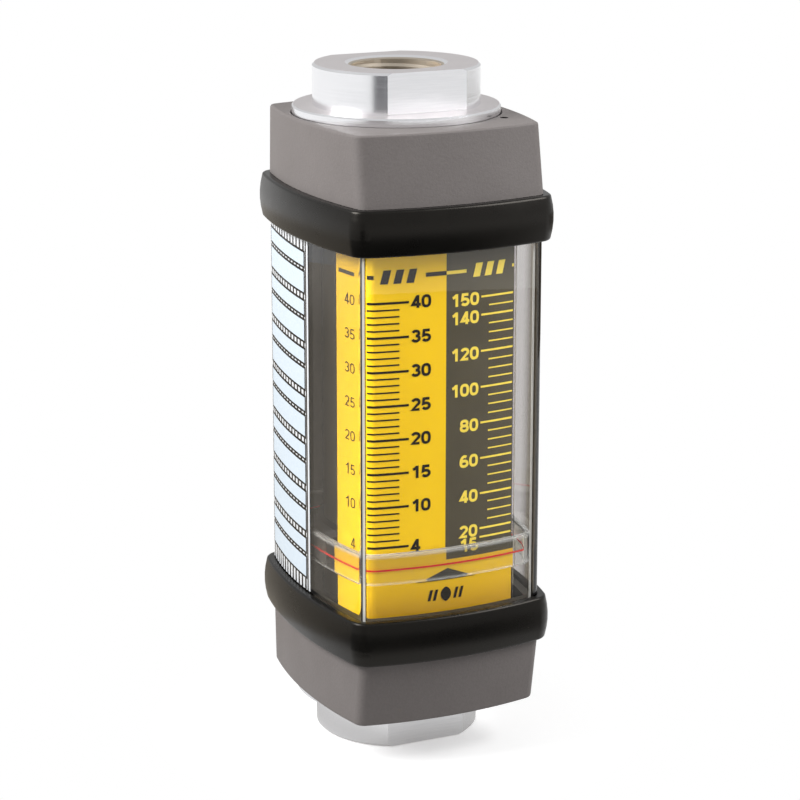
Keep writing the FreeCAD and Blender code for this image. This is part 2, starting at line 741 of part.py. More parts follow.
# ---- assembly -----------------------------------------------------------------
for prefix, is_upper in (("lower", False), ("upper", True)):
    port(prefix + "_port", is_upper)
    port_seal(prefix + "_port_seal", is_upper)
    retaining_ring(prefix + "_retaining_ring", is_upper)
    spider(prefix + "_spider", is_upper)
    nut(prefix + "_cone_nut", is_upper)
    end_cap(prefix + "_end_cap", is_upper)
    wear_ring(prefix + "_wear_ring", is_upper)
    bumper(prefix + "_bumper", is_upper)
casing()
cone()
spring()
piston()
tube("guard_window", window_out, window_in, (corner_r - window_out, inner_corner),
     window_low, overall - window_low)
scale_plate("scale_support", support_out, support_thick, support_low, support_over)
scale_plate("scale_sheet", sheet_out, sheet_thick, sheet_low)
side_label()
follower()
doc.recompute()

os.makedirs("parts", exist_ok=True)
for part in [o for o in doc.Objects if o.TypeId == "PartDesign::Body"]:
    for item in [part] + list(part.Group):
        assert "Invalid" not in item.State and "Error" not in item.State, item.Name
    shape = part.Shape
    assert not shape.isNull() and shape.isValid() and shape.Volume > 0, part.Label
    assert len(shape.Solids) == 1, (part.Label, len(shape.Solids))
    box = shape.BoundBox
    print("%-24s %9.1f mm3  x %6.1f %6.1f  y %6.1f %6.1f  z %6.1f %6.1f" % (
        part.Label, shape.Volume, box.XMin, box.XMax, box.YMin, box.YMax, box.ZMin, box.ZMax))
    shape.exportStep("parts/%s.step" % part.Label)
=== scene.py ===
# %% [markdown]
# # A turning-guard flow meter, dressed for a portrait
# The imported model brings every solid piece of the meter: the two threaded ports, the pressure
# casing, the guard with its caps, bumpers and clear window, and the ring that follows the flow.
# This lesson keeps all those pieces where they are and gives them what a solid can't carry: cut
# threads, printed scales, a printed side label, and finishes for metal, rubber and clear plastic.

# %% Load the frame
import bpy
import bmesh
import math
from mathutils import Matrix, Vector


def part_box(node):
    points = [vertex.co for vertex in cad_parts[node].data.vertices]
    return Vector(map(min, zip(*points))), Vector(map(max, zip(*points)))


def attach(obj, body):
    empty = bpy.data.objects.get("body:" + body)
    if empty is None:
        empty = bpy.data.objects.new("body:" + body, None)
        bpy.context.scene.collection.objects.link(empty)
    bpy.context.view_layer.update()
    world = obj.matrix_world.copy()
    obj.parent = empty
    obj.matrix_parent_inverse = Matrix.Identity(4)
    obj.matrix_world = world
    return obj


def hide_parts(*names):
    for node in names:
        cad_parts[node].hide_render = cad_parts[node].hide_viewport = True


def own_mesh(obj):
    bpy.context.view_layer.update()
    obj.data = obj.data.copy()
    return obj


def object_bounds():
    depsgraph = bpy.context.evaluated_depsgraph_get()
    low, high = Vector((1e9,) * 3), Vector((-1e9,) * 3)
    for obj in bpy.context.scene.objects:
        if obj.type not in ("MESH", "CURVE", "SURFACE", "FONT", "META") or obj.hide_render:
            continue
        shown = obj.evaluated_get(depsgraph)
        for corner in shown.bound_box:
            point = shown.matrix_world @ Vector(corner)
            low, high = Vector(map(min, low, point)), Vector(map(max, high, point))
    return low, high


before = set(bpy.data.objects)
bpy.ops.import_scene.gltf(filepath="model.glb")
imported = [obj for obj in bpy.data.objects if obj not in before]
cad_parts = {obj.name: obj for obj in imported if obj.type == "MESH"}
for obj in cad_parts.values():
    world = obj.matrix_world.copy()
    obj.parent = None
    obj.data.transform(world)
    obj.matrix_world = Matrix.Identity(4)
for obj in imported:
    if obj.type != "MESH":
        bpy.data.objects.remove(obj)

mm = 0.001
cad_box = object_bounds()
mid_height = (cad_box[0].z + cad_box[1].z) / 2
print("pieces from the packed model:", len(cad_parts))

# %% [markdown]
# ## Camera
# A meter like this is drawn a little from the left and a little from above, through a long lens,
# so that its upright edges stay nearly parallel. The camera could be aimed with a constraint, but
# plain numbers are easier to read: where it stands round the port axis, how high, and how far it
# looks down. A small lens shift then frames the meter without turning the camera.

# %% Camera
def new_object(name, data):
    made = bpy.data.objects.new(name, data)
    bpy.context.scene.collection.objects.link(made)
    return made


around, look_down = math.radians(-24.82), math.radians(14.367)
away, eye_high = 0.6982, 0.28127
lens = bpy.data.cameras.new("portrait_lens")
lens.lens, lens.sensor_width = 120.54, 36.0
lens.shift_x, lens.shift_y = 0.0047, -0.050
camera = new_object("portrait_camera", lens)
camera.location = (math.sin(around) * away, -math.cos(around) * away, eye_high)
camera.rotation_euler = (math.pi / 2 - look_down, 0.0, around)
bpy.context.scene.camera = camera
bpy.context.scene.view_settings.view_transform = "Standard"
print("camera stands", [round(c, 3) for c in camera.location])

# %% [markdown]
# ## Sums of sockets
# Finishes are made from shader nodes. Adding each node by hand hides the idea behind a lot of
# wiring, so one small class wraps a socket: an expression such as `0.3 + 0.1 * grain` then adds
# its own Math nodes, and every other node comes from the single method `node`.

# %% A socket that works in sums
class Wire:
    def __init__(self, tree, socket=None):
        self.tree, self.socket = tree, socket

    def node(self, kind, settings=None, inputs=None, out=0):
        made = self.tree.nodes.new("ShaderNode" + kind)
        for name, value in (settings or {}).items():
            if name == "stops":
                while len(made.color_ramp.elements) < len(value):
                    made.color_ramp.elements.new(1.0)
                for stop, (place, colour) in zip(made.color_ramp.elements, value):
                    stop.position, stop.color = place, (*colour, 1.0)
            else:
                setattr(made, name, value)
        for name, value in (inputs or {}).items():
            if isinstance(value, Wire):
                self.tree.links.new(value.socket, made.inputs[name])
            elif isinstance(value, tuple) and len(made.inputs[name].default_value) == 4:
                made.inputs[name].default_value = (*value, 1.0)
            else:
                made.inputs[name].default_value = value
        return Wire(self.tree, made.outputs[out])

    def math(self, operation, a, b=0.0):
        return self.node("Math", {"operation": operation}, {0: a, 1: b})

    def __add__(self, other):
        return self.math("ADD", self, other)

    def __sub__(self, other):
        return self.math("SUBTRACT", self, other)

    def __rsub__(self, other):
        return self.math("SUBTRACT", other, self)

    def __mul__(self, other):
        return self.math("MULTIPLY", self, other)

    def __truediv__(self, other):
        return self.math("DIVIDE", self, other)

    def __pow__(self, other):
        return self.math("POWER", self, other)

    def __gt__(self, other):
        return self.math("GREATER_THAN", self, other)

    def __lt__(self, other):
        return self.math("LESS_THAN", self, other)

    __radd__, __rmul__ = __add__, __mul__


print("sums ready")

# %% [markdown]
# ## Steps that every finish shares
# A finish is one Principled shader. What is the same all over the surface is written straight on
# the shader's sockets, and what changes over the surface is fed to it. A base colour is given both
# ways: the plain one is what stays if the pattern is taken away. `tone` takes a colour as screens
# count it, from 0 to 255, and gives the plain amounts of light that shaders work with.

# %% Finishes
def tone(red, green, blue):
    return tuple(((c / 255 + 0.055) / 1.055) ** 2.4 if c > 10 else c / 255 / 12.92
                 for c in (red, green, blue))


def finish(name, **fixed):
    material = bpy.data.materials.new(name)
    material.use_nodes = True
    shader = material.node_tree.nodes["Principled BSDF"]
    for socket, value in fixed.items():
        socket = shader.inputs[socket.replace("_", " ")]
        socket.default_value = (*value, 1.0) if isinstance(value, tuple) else value
    return material, Wire(material.node_tree)


def feed(material, **varied):
    shader = material.node_tree.nodes["Principled BSDF"]
    for socket, wire in varied.items():
        material.node_tree.links.new(wire.socket, shader.inputs[socket.replace("_", " ")])


print("finishes ready")

# %% [markdown]
# ## Where a pattern is
# A pattern needs to know where it is on the piece, and since nothing here has an unwrapped skin, it
# uses the place in space itself, in metres, split into across, deep and high. The way a face looks
# is split in the same manner. A ramp turns one of those numbers into a soft change from 0 to 1.

# %% Pattern helpers
def spot_on(wire):
    return wire.node("TexCoord", out="Object")


def facing_on(wire):
    return wire.node("TexCoord", out="Normal")


def split(vector):
    apart = vector.node("SeparateXYZ", inputs={0: vector})
    return [Wire(vector.tree, axis) for axis in apart.socket.node.outputs]


def joined(x, y, z=0.0):
    return x.node("CombineXYZ", inputs={0: x, 1: y, 2: z})


def distance(across, deep):
    return (across * across + deep * deep) ** 0.5


def ramp(value, start, stop, full=1.0, kind="LINEAR"):
    return value.node("MapRange", {"interpolation_type": kind},
                      {0: value, 1: start, 2: stop, 3: 0.0, 4: full})


def grain(spot, size, detail=2.0, rough=0.5):
    return spot.node("TexNoise", inputs={"Vector": spot, "Scale": 1 / size, "Detail": detail,
                                         "Roughness": rough})


def mixed(first, second, share):
    return share.node("Mix", {"data_type": "RGBA"}, {0: share, 6: first, 7: second}, out=2)


def raised(height, deep, strength):
    return height.node("Bump", inputs={"Height": height, "Distance": deep, "Strength": strength})


print("pattern helpers ready")

# %% [markdown]
# ## Bare aluminium of the ports
# The ports are turned on a lathe, then two flats are milled for a wrench. A lathe leaves fine
# rings round the axis and a mill leaves fine straight marks. Both are drawn by stretching a noise:
# it depends on the distance from the axis and on the height, so it makes rings on the end face
# and level lines on the wall. End faces are a little duller than the walls. The bore is painted
# browner and darker, a painted shade for the inside of the hole, and its roughness is raised,
# because thread cutting leaves it rough.

# %% Port metal
flats_from, bore_until = 81 * mm, 12.6 * mm
port_metal, w = finish("port_metal", Metallic=1.0, Base_Color=tone(232, 232, 233))
spot = spot_on(w)
x, y, z = split(spot)
from_axis, from_middle = distance(x, y), z - mid_height
turning = joined(from_axis, z)
rings, wide_rings = grain(turning, 0.16 * mm, 3.0, 0.6), grain(turning, 0.9 * mm)
scratches = grain(joined(x * 0.05, y * 0.05, z), 0.35 * mm, 4.0, 0.7)
cloud = grain(spot, 6 * mm, 3.0)
out_y, upward = split(facing_on(w))[1:]
end_face = upward * upward > 0.9
flat_face = (out_y * out_y > 0.995) * (from_middle * from_middle > flats_from ** 2)
in_bore = from_axis < bore_until
marks = mixed(rings, scratches, flat_face)
wall = mixed(tone(231, 232, 235), tone(253, 253, 255), marks)
# painted shade: the bore is painted browner and darker than the wall
wall = mixed(wall, tone(186, 176, 162), in_bore)
ends = mixed(tone(200, 195, 196), tone(226, 221, 221), rings * 0.6 + cloud * 0.4)
feed(port_metal, Base_Color=mixed(wall, ends, end_face),
     Roughness=(0.12 + 0.10 * rings + 0.06 * cloud + 0.16 * flat_face + 0.20 * end_face
                + 0.18 * in_bore),
     Normal=raised(rings + wide_rings * 0.6 + scratches * flat_face, 0.03 * mm, 0.45))
print("port metal ready")

# %% [markdown]
# ## Metal inside the guard
# The pressure casing is drawn aluminium with a dull brownish-grey coat, which looks soft through
# the window. The steel inside it is only seen when the meter is taken apart, so it gets a plain
# machined look with turning lines.

# %% Casing and inner metals
casing_metal, w = finish("casing_metal", Metallic=0.2, Base_Color=tone(169, 160, 136))
spot = spot_on(w)
x, y, z = split(spot)
drawn = grain(joined(x, y, z * 0.02), 0.35 * mm, 3.0)
cloud = grain(spot, 9 * mm)
feed(casing_metal, Roughness=0.38 + 0.12 * drawn,
     Base_Color=mixed(tone(152, 143, 120), tone(186, 177, 152), drawn * 0.6 + cloud * 0.4),
     Normal=raised(drawn, 0.015 * mm, 0.3))

inner_metal, w = finish("inner_metal", Metallic=1.0, Base_Color=tone(178, 178, 178))
x, y, z = split(spot_on(w))
rings = grain(joined(distance(x, y), z), 0.2 * mm)
feed(inner_metal, Roughness=0.28 + 0.18 * rings, Normal=raised(rings, 0.01 * mm, 0.4),
     Base_Color=mixed(tone(160, 160, 162), tone(190, 190, 188), rings))

spring_steel, w = finish("spring_steel", Metallic=1.0, Base_Color=tone(176, 176, 180))
drawn = grain(spot_on(w), 0.3 * mm)
feed(spring_steel, Roughness=0.2 + 0.15 * drawn,
     Base_Color=mixed(tone(160, 160, 166), tone(188, 188, 190), drawn))
print("metals ready")

# %% [markdown]
# ## Grey moulded caps
# The end caps are moulded in a warm grey plastic. The mould is lightly etched, so the surface has
# a fine pebble that spreads highlights. One small noise gives that pebble, and a large faint one
# keeps the colour from looking like paint out of a tin. The vent hole is darkened where it goes
# in, and so are the faces that lie inside the guard, where hardly any light comes.

# %% Cap grey
vent_x, vent_y, vent_until = 20.8 * mm, -21.6 * mm, 1.12 * mm
inside_until = 60.2 * mm
cap_grey, w = finish("cap_grey", Base_Color=tone(124, 118, 116), Specular_IOR_Level=0.3)
spot = spot_on(w)
x, y, z = split(spot)
pebble, cloud = grain(spot, 0.75 * mm, 3.0, 0.7), grain(spot, 14 * mm)
from_middle = z - mid_height
in_vent = distance(x - vent_x, y - vent_y) < vent_until
skin = mixed(tone(110, 104, 102), tone(136, 130, 128), cloud * 0.4 + pebble * 0.6)
skin = mixed(skin, tone(58, 55, 48), from_middle * from_middle < inside_until ** 2)
feed(cap_grey, Roughness=0.48 + 0.16 * pebble, Base_Color=mixed(skin, tone(26, 24, 23), in_vent),
     Normal=raised(pebble, 0.14 * mm, 0.6))
print("cap grey ready")

# %% [markdown]
# ## Black rubber bumpers and seals
# The bumpers are stretched rubber bands with a soft, slightly dusty skin. Rubber is dark but never
# pure black, and its highlight is broad. Handling leaves it a little browner in patches.

# %% Rubber
bumper_rubber, w = finish("bumper_rubber", Base_Color=tone(12, 11, 10), Specular_IOR_Level=0.27,
                          Specular_Tint=(1.0, 0.93, 0.84))
spot = spot_on(w)
dust, skin = grain(spot, 7 * mm, 4.0, 0.6), grain(spot, 0.25 * mm)
feed(bumper_rubber, Roughness=0.20 + 0.12 * dust + 0.06 * skin,
     Base_Color=mixed(tone(4, 4, 4), tone(13, 12, 10), dust), Normal=raised(skin, 0.02 * mm, 0.25))

seal_rubber, w = finish("seal_rubber", Base_Color=tone(40, 40, 40))
skin = grain(spot_on(w), 0.3 * mm)
feed(seal_rubber, Roughness=0.35 + 0.15 * skin,
     Base_Color=mixed(tone(34, 34, 34), tone(46, 46, 46), skin))
print("rubber ready")

# %% [markdown]
# ## Dark inner parts
# Magnets are ground ceramic, the carrier is moulded dark plastic, and the wear rings are a smooth
# polymer. They are small and mostly hidden, so one noise each gives their tone, gloss and relief.

# %% Dark inner parts
def dark_finish(name, low, high, gloss, size):
    material, wire = finish(name, Base_Color=tone(*high))
    speckle = grain(spot_on(wire), size, 3.0)
    feed(material, Roughness=gloss + 0.15 * speckle, Normal=raised(speckle, 0.02 * mm, 0.3),
         Base_Color=mixed(tone(*low), tone(*high), speckle))
    return material


magnet_dark = dark_finish("magnet_dark", (64, 64, 66), (92, 92, 92), 0.40, 0.2 * mm)
carrier_dark = dark_finish("carrier_dark", (56, 54, 52), (76, 74, 72), 0.45, 0.5 * mm)
wear_polymer = dark_finish("wear_polymer", (78, 78, 78), (98, 98, 98), 0.30, 0.6 * mm)
print("dark parts ready")

# %% [markdown]
# ## Clear plastics
# The window, the scale support and the follower ring are clear plastic walls. Light that a lamp
# sends through them has to reach the scale behind, and a plain glass shader blocks it. So each
# clear finish is a glass mixed with a Transparent shader for shadow rays only: what is seen
# through the wall still bends, and the scale behind it stays lit. The support is the plainest of
# the three.

# %% Clear plastics
def cover(shader):
    output = shader.tree.nodes["Material Output"]
    shader.tree.links.new(shader.socket, output.inputs["Surface"])


def blended(share, first, second):
    return share.node("MixShader", inputs={0: share, 1: first, 2: second})


def laid_over(wire, share, top):
    under = wire.tree.nodes["Material Output"].inputs["Surface"].links[0].from_socket
    cover(blended(share, Wire(wire.tree, under), top))


def clear_finish(name, tint, bend, gloss, shine):
    material, wire = finish(name, Base_Color=tint, IOR=bend, Roughness=gloss,
                            Transmission_Weight=1.0, Specular_IOR_Level=shine)
    shadow = wire.node("LightPath", out="Is Shadow Ray")
    laid_over(wire, shadow, wire.node("BsdfTransparent", inputs={"Color": tint}))
    return material, wire


plastic_bend = 1.49
support_clear = clear_finish("support_clear", (0.95, 0.92, 0.95), 1.45, 0.02, 0.2)[0]
print("clear plastic ready")

# %% [markdown]
# ## Follower ring
# The ring is sawn from a tube. A little white is laid over the clear plastic at its two rims as a
# painted highlight, more at the top than at the foot. Above its foot the ring is painted slightly
# olive, a painted shade for the darker look through more of its own wall.

# %% Follower ring
ring_low, ring_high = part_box("follower_ring")
ring_tint, ring_olive = (0.96, 0.96, 0.92), (0.88, 0.86, 0.76)
follower_clear, w = clear_finish("follower_clear", ring_tint, plastic_bend, 0.0, 0.15)
z = split(spot_on(w))[2]
# painted shade: the ring is painted olive above its foot
feed(follower_clear, Base_Color=mixed(ring_tint, ring_olive, z > ring_low.z + 4.1 * mm))
# painted highlight: white laid over the top and foot rims
top_rim = ramp(z, ring_high.z - 1.3 * mm, ring_high.z - 0.7 * mm, 0.26)
foot_rim = ramp(z, ring_low.z + 0.8 * mm, ring_low.z + 0.4 * mm, 0.14)
rim_highlight = w.node("BsdfDiffuse", inputs={"Color": (0.85, 0.85, 0.82)})
laid_over(w, top_rim + foot_rim, rim_highlight)
print("follower ring highlighted at", [round(c.z / mm, 1) for c in (ring_low, ring_high)])

# %% [markdown]
# ## Tint of the window
# The more a wall slants away, the longer the path of the light in it, so a ramp over the slant
# darkens the window towards its sides: partly the tint of that longer path, and partly a painted
# shade for the dark reflections in the slanting walls. At its right corner a dark olive band with
# faint upright streaks is painted, a painted reflection of dark surroundings in the thick corner.
# The two corners are found from the window's own points: the near one lies furthest to the left
# and front, the far one furthest to the right and front.

# %% Window tint
window_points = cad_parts["guard_window"].data.vertices
near_edge = min(window_points, key=lambda v: v.co.x + v.co.y).co
far_edge = max(window_points, key=lambda v: v.co.x - v.co.y).co
window_tint = (0.97, 0.975, 0.985)
window_clear, w = clear_finish("window_clear", window_tint, plastic_bend, 0.0, 0.12)
# partly painted shade: the ramp darkens the slanting walls down to near black
slanting = w.node("LayerWeight", inputs={"Blend": 0.5}, out="Facing")
path_tint = w.node("ValToRGB", {"stops": [
    (0.30, window_tint), (0.45, (0.69, 0.66, 0.63)), (0.58, (0.465, 0.425, 0.395)),
    (0.665, (0.42, 0.38, 0.355)), (0.705, (0.06, 0.044, 0.026))]}, {"Fac": slanting})
x, y, z = split(spot_on(w))
in_front = y < far_edge.y + 1.0 * mm
# painted shade: a dark olive band at the right corner stands in for its dark reflection
dark_corner_band = ramp(x, far_edge.x - 2.25 * mm, far_edge.x - 2.10 * mm) * in_front
streaks = grain(joined(x, y * 0.2, z * 0.01), 0.5 * mm)
olive = mixed((0.045, 0.036, 0.022), (0.13, 0.10, 0.062), streaks)
feed(window_clear, Base_Color=mixed(path_tint, olive, dark_corner_band))
print("window corners at", [[round(c / mm, 1) for c in place] for place in (near_edge, far_edge)])

# %% [markdown]
# ## Painted lines at the window corners
# The near corner gets a painted highlight: a white core runs up the very edge, with a painted dark
# border round it. A thin pale line, also a painted highlight, runs up beside the dark right corner.
# One diffuse shader, light in the core and dark round it, is laid over the clear plastic in both
# places.

# %% Window corners
edge_line_share, thin_from, thin_to = 0.85, 2.55 * mm, 2.32 * mm
from_edge = distance(x - near_edge.x, y - near_edge.y)
# painted highlight: a white core at the near corner, with a painted dark border round it
edge_lines = ramp(from_edge, 0.74 * mm, 0.58 * mm, edge_line_share)
core = ramp(from_edge, 0.42 * mm, 0.30 * mm)
# painted highlight: a thin pale line beside the right corner
thin_line = (x > far_edge.x - thin_from) * (x < far_edge.x - thin_to) * in_front
painted = w.node("BsdfDiffuse", inputs={"Color": mixed((0.03, 0.03, 0.03), (0.82, 0.82, 0.79),
                                                    core + thin_line)})
laid_over(w, edge_lines + edge_line_share * thin_line, painted)
print("window corners worn")

# %% [markdown]
# ## Printed film of the scale
# The scale sheet is yellow film with a grey band printed over its right part, down to just above
# the red line. The band could be a separate patch, but an ink field has no thickness to model, so
# the finish itself turns grey where the sheet lies right of the dividing line. The yellow is
# painted browner towards the foot, a painted shade near the bumper and under the ring. The strip
# that is folded back along the side is painted brighter at its foot and duller towards the top,
# painted light that evens out how the lamps fall off down the meter.

# %% Scale film
sheet_low, sheet_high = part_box("scale_sheet")
band_left, band_bottom = -1.9 * mm, 57.0 * mm
fold_left, fold_front = -22.0 * mm, -29.5 * mm
scale_print, w = finish("scale_print", Base_Color=tone(248, 202, 20), Specular_IOR_Level=0.1)
spot = spot_on(w)
x, y, z = split(spot)
ink_cloud, fibre = grain(spot, 11 * mm), grain(spot, 0.3 * mm)
yellow = mixed(tone(248, 199, 8), tone(255, 210, 16), ink_cloud)
# painted shade: the yellow darkens and browns towards the foot
yellow = mixed(yellow, tone(203, 155, 24), ramp(z, 58 * mm, 44 * mm))
folded = (x < fold_left) * (y > fold_front)
# painted light: the folded strip is brighter at its foot and duller towards the top
fold_yellow = mixed(tone(250, 202, 18), tone(222, 177, 32), ramp(z, 60 * mm, 125 * mm))
yellow = mixed(yellow, fold_yellow, folded)
grey = mixed(tone(73, 67, 53), tone(89, 82, 64), ink_cloud)
band = (x > band_left) * (z > band_bottom)
feed(scale_print, Base_Color=mixed(yellow, grey, band), Roughness=0.33 + 0.1 * fibre)
print("scale sheet from", round(sheet_low.z / mm, 1), "to", round(sheet_high.z / mm, 1), "mm high")

# %% [markdown]
# ## Printed film of the side label
# The label is white film with fine black lines that run up it, set off from its front edge by a
# plain border. Its inner face is dark, and shows through the window where the label wraps round
# the rear. There its outer face is left plain. The lines repeat with the distance from the label's
# front edge, counted in millimetres, so they stay sharp at any size.

# %% Label film
label_low, label_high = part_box("side_label")
border_from, border_to = 0.95, 1.8
line_start, line_pitch, line_share = 2.3, 2.35, 0.46
label_print, w = finish("label_print", Base_Color=tone(240, 243, 246))
spot = spot_on(w)
(x, y), (out_x, out_y) = split(spot)[:2], split(facing_on(w))[:2]
outer_face = out_x * x + out_y * y > 0.0
beside = out_y * out_y < 0.4
behind = (y - label_low.y) * 1000.0
repeat = (behind - line_start) / line_pitch
lines = (repeat.math("FRACT", repeat) < line_share) * (behind > line_start) * beside
border = (behind > border_from) * (behind < border_to)
film_cloud = grain(spot, 8 * mm)
white = mixed(tone(236, 240, 244), tone(246, 248, 250), film_cloud)
printed_face = mixed(white, tone(32, 27, 24), lines + border > 0.5)
feed(label_print, Base_Color=mixed(tone(48, 44, 34), printed_face, outer_face),
     Roughness=0.28 + 0.1 * film_cloud)
print("label from", round(label_low.z / mm, 1), "to", round(label_high.z / mm, 1), "mm high")

# %% [markdown]
# ## Inks
# Print is a thin layer with its own slight gloss. Dark ink goes on yellow and white, with a softer
# grey for the pointer, yellow ink goes on the grey band, a pale blue-white fills the shapes on the
# label, and a clear red marks the flow.

# %% Inks
def ink(name, low, high):
    material, wire = finish(name, Base_Color=tone(*high), Specular_IOR_Level=0.1)
    uneven = grain(spot_on(wire), 1.2 * mm, 3.0)
    feed(material, Base_Color=mixed(tone(*low), tone(*high), uneven),
         Roughness=0.30 + 0.12 * uneven)
    return material


ink_dark = ink("ink_dark", (22, 17, 10), (34, 28, 18))
ink_grey = ink("ink_grey", (50, 46, 38), (62, 58, 48))
ink_yellow = ink("ink_yellow", (244, 214, 70), (252, 226, 96))
ink_pale = ink("ink_pale", (214, 228, 240), (228, 238, 246))
line_red = ink("line_red", (214, 14, 4), (228, 22, 8))
print("inks ready")

# %% [markdown]
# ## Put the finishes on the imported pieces
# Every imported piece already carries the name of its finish. Swapping the plain material for the
# one with the same name dresses all of them in one short loop.

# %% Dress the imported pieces
finishes = {"port_metal": port_metal, "casing_metal": casing_metal, "inner_metal": inner_metal,
            "spring_steel": spring_steel, "seal_rubber": seal_rubber, "magnet_dark": magnet_dark,
            "carrier_dark": carrier_dark, "cap_grey": cap_grey, "bumper_rubber": bumper_rubber,
            "window_clear": window_clear, "support_clear": support_clear,
            "scale_print": scale_print, "label_print": label_print,
            "wear_polymer": wear_polymer, "follower_clear": follower_clear,
            "line_red": line_red}
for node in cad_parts.values():
    for slot in node.material_slots:
        slot.material = finishes[slot.material.name.split(".")[0]]
print("dressed", len(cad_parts), "pieces")

# %% [markdown]
# ## Softer edges and even curves
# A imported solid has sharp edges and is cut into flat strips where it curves. Moulded rubber and
# plastic show neither: light runs round their edges in a thin line. The bumpers and the follower
# ring are copied, their sharp edges rounded, and their shading evened out, and each copy stands in
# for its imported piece.

# %% Rounded copies
def into_mesh(build, mesh):
    build.to_mesh(mesh)
    build.free()


def softened(node, name, body, width):
    flat, sharp = math.radians(0.3), math.radians(40)
    mesh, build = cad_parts[node].data.copy(), bmesh.new()
    build.from_mesh(mesh)
    bmesh.ops.remove_doubles(build, verts=build.verts, dist=1e-6)
    bmesh.ops.dissolve_limit(build, angle_limit=flat, verts=build.verts, edges=build.edges)
    rims = [edge for edge in build.edges
            if len(edge.link_faces) == 2 and edge.calc_face_angle() > sharp]
    bmesh.ops.bevel(build, geom=rims, offset=width, segments=3, profile=0.5, affect="EDGES",
                    clamp_overlap=True)
    for face in build.faces:
        face.smooth = True
    into_mesh(build, mesh)
    piece = new_object(name, mesh)
    piece.modifiers.new("even_shading", "WEIGHTED_NORMAL").keep_sharp = True
    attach(piece, body)
    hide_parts(node)
    print(name, "has", len(rims), "rounded edges and", len(mesh.polygons), "faces")


for end in ("lower", "upper"):
    softened(end + "_bumper", end + "_bumper_skin", "guard", 0.3 * mm)
softened("follower_ring", "follower_ring_rounded", "follower", 0.45 * mm)

# %% [markdown]
# ## The return spring
# The return spring stands between the piston and the upper spider. Neither body moves it whole:
# its top stays and its foot rises with the piston. A copy of it, with a mesh of its own, stands in
# for the imported one and rides with the casing.

# %% Spring
spring = new_object("return_spring_coil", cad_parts["return_spring"].data.copy())
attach(spring, "casing")
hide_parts("return_spring")
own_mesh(spring)

# %% [markdown]
# ## Drawing on curved faces
# The sheet and the label are bent, so their print is drawn flat first, in a width and a height,
# and each point is then laid on the curve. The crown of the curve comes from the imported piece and
# its radius from the sheet's bend, which turns round a small fold at the near corner. A tiny lift
# keeps ink above film.

# %% From flat to curved
sheet_bend, side_bend, return_bend = 100.7 * mm, 129.95 * mm, 125.7 * mm
side_middle = -4.6 * mm
fold_x, fold_y, fold_r = -20.19 * mm, -29.60 * mm, 2.4 * mm
fold_start = fold_x - 0.5 * mm
lift = 0.12 * mm


def bow(offset, bend):
    return bend - math.sqrt(bend ** 2 - offset ** 2)


return_crown = sheet_low.x - bow(sheet_high.y - side_middle, return_bend)


def on_scale(across, up, above):
    if across < fold_start:
        reach = min(fold_r + above, abs(across - fold_x))
        return Vector((across, fold_y - math.sqrt((fold_r + above) ** 2 - reach ** 2), up))
    return Vector((across, sheet_low.y - above + bow(across, sheet_bend), up))


def on_return(deep, up, above):
    return Vector((return_crown - above + bow(deep - side_middle, return_bend), deep, up))


def on_label(deep, up, above):
    return Vector((label_low.x - above + bow(deep - side_middle, side_bend), deep, up))


print("folded strip's crown at", round(return_crown / mm, 2), "mm")

# %% [markdown]
# ## Strips of ink
# Every shape in ink is a strip: a list of pairs of points, the two sides of a ribbon, which are
# filled with a face from each pair to the next. A ruled line is such a strip, cut into enough
# parts to follow the bend.

# %% Strips of ink
def skin_over(build, rows, closed=False):
    count = len(rows[0])
    for here, after in zip(rows, rows[1:]):
        for n in range(count if closed else count - 1):
            beyond = (n + 1) % count
            build.faces.new((here[n], here[beyond], after[beyond], after[n]))


def printed(name, strips, place, material, above=lift):
    mesh, build = bpy.data.meshes.new(name), bmesh.new()
    for strip in strips:
        skin_over(build, [[build.verts.new(place(u, v, above)) for u, v in pair]
                          for pair in strip])
    bmesh.ops.recalc_face_normals(build, faces=build.faces)
    for face in build.faces:
        face.smooth = True
    into_mesh(build, mesh)
    mesh.materials.append(material)
    piece = new_object(name, mesh)
    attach(piece, "guard")
    print(name, "has", len(mesh.polygons), "faces")


def ruled(start, stop, height, thick, parts=8):
    low, high = height - thick / 2, height + thick / 2
    steps = [start + (stop - start) * n / parts for n in range(parts + 1)]
    return [((across, low), (across, high)) for across in steps]


print("flat drawing ready")

# %% [markdown]
# ## A broad pen
# Scale numerals are wide and heavy so they can be read at arm's length. A text object would give
# a lettering style that comes with the program, and a bend modifier to follow the sheet. Here each
# numeral is instead a path for a broad pen, made of straight runs and arcs. The pen's stroke is
# half its width to each side of the path, and is mitred at the corners.

# %% Pen
def arc(middle_x, middle_y, wide, tall, start, stop, parts=12):
    turns = [math.radians(start + (stop - start) * n / parts) for n in range(parts + 1)]
    return [(middle_x + wide * math.cos(turn), middle_y + tall * math.sin(turn)) for turn in turns]


def squarish(middle_x, middle_y, wide, tall, full=2.2, parts=28):
    points = []
    for n in range(parts + 1):
        turn = math.radians(90 + 360 * n / parts)
        c, s = math.cos(turn), math.sin(turn)
        points.append((middle_x + wide * math.copysign(abs(c) ** (2 / full), c),
                       middle_y + tall * math.copysign(abs(s) ** (2 / full), s)))
    return points


